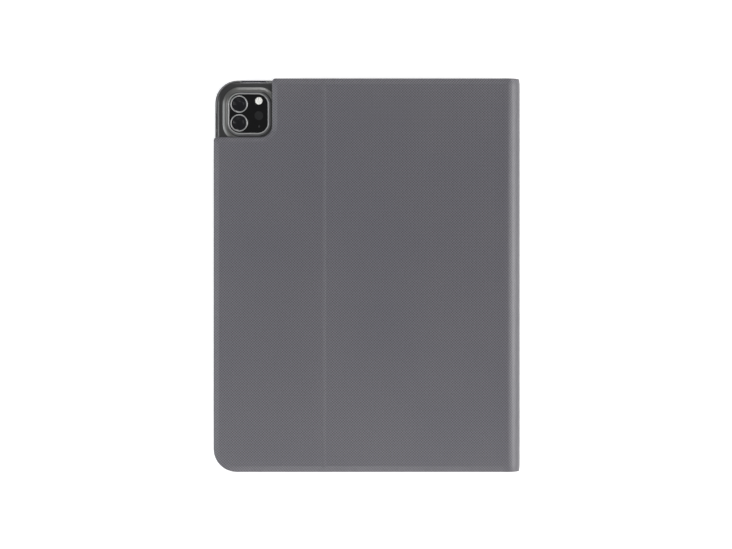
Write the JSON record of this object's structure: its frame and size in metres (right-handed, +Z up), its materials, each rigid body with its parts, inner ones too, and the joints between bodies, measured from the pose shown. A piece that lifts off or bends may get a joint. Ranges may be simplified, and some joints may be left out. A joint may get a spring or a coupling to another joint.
{
  "type": "tablet keyboard case",
  "caption": "Woven folio case with a soft hinged spine, a keyboard in its front cover and a moulded tray that holds a large tablet, with a corner cut-out for the camera.",
  "frame": {"origin": "centre of the closed case's underside, which is the outside of the keyboard cover", "axes": "+X along the rows of keys, +Y from the free edge to the spine, +Z up from the keyboard cover to the back cover"},
  "size_m": [0.286, 0.223, 0.02],
  "materials": {
    "woven_fabric": "fine grey plain weave, matte",
    "lining_fabric": "brushed microfibre, matte",
    "stiffener_board": "pressed fibre board",
    "stiffener_film": "clear springy polyester sheet",
    "magnet_plate": "nickel plated",
    "tray_polymer": "flexible moulded plastic, fine matte texture",
    "rest_rubber": "soft rubber, matte",
    "deck_metal": "blasted and anodised",
    "case_plastic": "moulded, fine matte texture",
    "keycap_plastic": "moulded, satin",
    "trackpad_glass": "etched glass, satin",
    "sheet_steel": "stamped sheet",
    "printed_film": "printed polyester film",
    "silicone": "translucent silicone",
    "circuit_board": "solder mask on glass fibre",
    "battery_foil": "foil pouch",
    "plated_steel": "plated",
    "indicator": "diffusing light pipe",
    "tablet_metal": "blasted and anodised",
    "tablet_glass": "polished",
    "camera_cover_glass": "polished",
    "camera_metal": "polished edge",
    "lens": "coated lens glass",
    "flash": "clear over a diffuser"
  },
  "bodies": {
    "keyboard_cover": {"front_cover_skin": "woven_fabric", "front_board": "stiffener_board", "front_lining": "lining_fabric", "front_magnets": "magnet_plate", "tablet_rest": "rest_rubber", "keyboard_lower_case": "case_plastic", "keyboard_deck": "deck_metal", "key_backplate": "sheet_steel", "membrane_circuit": "printed_film", "dome_sheet": "silicone", "main_board": "circuit_board", "batteries": "battery_foil", "charge_port": "plated_steel", "trackpad_board": "circuit_board", "indicator_lights": "indicator", "screen_bumpers": "rest_rubber", "case_screws": "plated_steel"},
    "function_row": {"keys_function_row": "keycap_plastic"},
    "number_row": {"keys_number_row": "keycap_plastic"},
    "top_letter_row": {"keys_top_letter_row": "keycap_plastic"},
    "home_row": {"keys_home_row": "keycap_plastic"},
    "bottom_letter_row": {"keys_bottom_letter_row": "keycap_plastic"},
    "modifier_row": {"keys_modifier_row": "keycap_plastic"},
    "space_bar": {"space_bar": "keycap_plastic"},
    "trackpad": {"trackpad": "trackpad_glass"},
    "power_switch": {"power_switch": "keycap_plastic"},
    "spine_lower": {"spine_skin_lower": "woven_fabric", "spine_sheet_lower": "stiffener_film", "spine_lining_lower": "lining_fabric"},
    "spine_upper": {"spine_skin_upper": "woven_fabric", "spine_sheet_upper": "stiffener_film", "spine_lining_upper": "lining_fabric"},
    "back_cover": {"back_cover_skin": "woven_fabric", "back_board_free_side": "stiffener_board", "back_board_spine_side": "stiffener_board", "back_lining": "lining_fabric", "back_magnets": "magnet_plate", "tray": "tray_polymer", "camera_guard": "tray_polymer", "tablet_housing": "tablet_metal", "tablet_battery": "battery_foil", "tablet_screen": "tablet_glass", "camera_bezel": "camera_metal", "camera_glass": "camera_cover_glass", "lens_rings": "camera_metal", "lens_glasses": "lens", "flash_lens": "flash", "depth_sensor_window": "lens"},
    "volume_up_pad": {"volume_up_pad": "tray_polymer"},
    "volume_down_pad": {"volume_down_pad": "tray_polymer"},
    "tablet_volume_up_key": {"tablet_volume_up_key": "tablet_metal"},
    "tablet_volume_down_key": {"tablet_volume_down_key": "tablet_metal"},
    "tablet_power_key": {"tablet_power_key": "tablet_metal"}
  },
  "joints": [
    {"name": "function_row_press", "type": "slide", "parent": "keyboard_cover", "child": "function_row", "axis": [0, 0, -1], "range_m": [0, 0.0012], "stiffness_N_per_m": 500, "springref_m": -0.0005},
    {"name": "number_row_press", "type": "slide", "parent": "keyboard_cover", "child": "number_row", "axis": [0, 0, -1], "range_m": [0, 0.0012], "stiffness_N_per_m": 500, "springref_m": -0.0005},
    {"name": "top_letter_row_press", "type": "slide", "parent": "keyboard_cover", "child": "top_letter_row", "axis": [0, 0, -1], "range_m": [0, 0.0012], "stiffness_N_per_m": 500, "springref_m": -0.0005},
    {"name": "home_row_press", "type": "slide", "parent": "keyboard_cover", "child": "home_row", "axis": [0, 0, -1], "range_m": [0, 0.0012], "stiffness_N_per_m": 500, "springref_m": -0.0005},
    {"name": "bottom_letter_row_press", "type": "slide", "parent": "keyboard_cover", "child": "bottom_letter_row", "axis": [0, 0, -1], "range_m": [0, 0.0012], "stiffness_N_per_m": 500, "springref_m": -0.0005},
    {"name": "modifier_row_press", "type": "slide", "parent": "keyboard_cover", "child": "modifier_row", "axis": [0, 0, -1], "range_m": [0, 0.0012], "stiffness_N_per_m": 500, "springref_m": -0.0005},
    {"name": "space_bar_press", "type": "slide", "parent": "keyboard_cover", "child": "space_bar", "axis": [0, 0, -1], "range_m": [0, 0.0012], "stiffness_N_per_m": 500, "springref_m": -0.0005},
    {"name": "trackpad_click", "type": "slide", "parent": "keyboard_cover", "child": "trackpad", "axis": [0, 0, -1], "range_m": [0, 0.0004], "stiffness_N_per_m": 1500, "springref_m": -0.0003},
    {"name": "power_switch_slide", "type": "slide", "parent": "keyboard_cover", "child": "power_switch", "axis": [0, 1, 0], "range_m": [0, 0.002]},
    {"name": "spine_lower_hinge", "type": "hinge", "parent": "keyboard_cover", "child": "spine_lower", "pos_m": [0, 0.1003, 0], "axis": [-1, 0, 0], "range_deg": [0, 41.76]},
    {"name": "spine_middle_hinge", "type": "hinge", "parent": "spine_lower", "child": "spine_upper", "pos_m": [0, 0.1115, 0.01], "axis": [-1, 0, 0], "range_deg": [0, 96.48]},
    {"name": "back_cover_hinge", "type": "hinge", "parent": "spine_upper", "child": "back_cover", "pos_m": [0, 0.1003, 0.02], "axis": [-1, 0, 0], "range_deg": [0, 41.76]},
    {"name": "volume_up_pad_press", "type": "slide", "parent": "back_cover", "child": "volume_up_pad", "axis": [0, 1, 0], "range_m": [0, 0.0003], "stiffness_N_per_m": 100, "springref_m": -0.0002},
    {"name": "volume_down_pad_press", "type": "slide", "parent": "back_cover", "child": "volume_down_pad", "axis": [0, 1, 0], "range_m": [0, 0.0003], "stiffness_N_per_m": 100, "springref_m": -0.0002},
    {"name": "tablet_volume_up_key_press", "type": "slide", "parent": "back_cover", "child": "tablet_volume_up_key", "axis": [0, 1, 0], "range_m": [0, 0.0003], "stiffness_N_per_m": 100, "springref_m": -0.0002},
    {"name": "tablet_volume_down_key_press", "type": "slide", "parent": "back_cover", "child": "tablet_volume_down_key", "axis": [0, 1, 0], "range_m": [0, 0.0003], "stiffness_N_per_m": 100, "springref_m": -0.0002},
    {"name": "tablet_power_key_press", "type": "slide", "parent": "back_cover", "child": "tablet_power_key", "axis": [1, 0, 0], "range_m": [0, 0.0003], "stiffness_N_per_m": 100, "springref_m": -0.0002}
  ],
  "couplings": [
    {"joint": "spine_lower_hinge", "follows": "back_cover_hinge", "ratio": 1},
    {"joint": "spine_middle_hinge", "follows": "back_cover_hinge", "ratio": 2.3103},
    {"joint": "tablet_volume_up_key_press", "follows": "volume_up_pad_press", "ratio": 1},
    {"joint": "tablet_volume_down_key_press", "follows": "volume_down_pad_press", "ratio": 1}
  ]
}
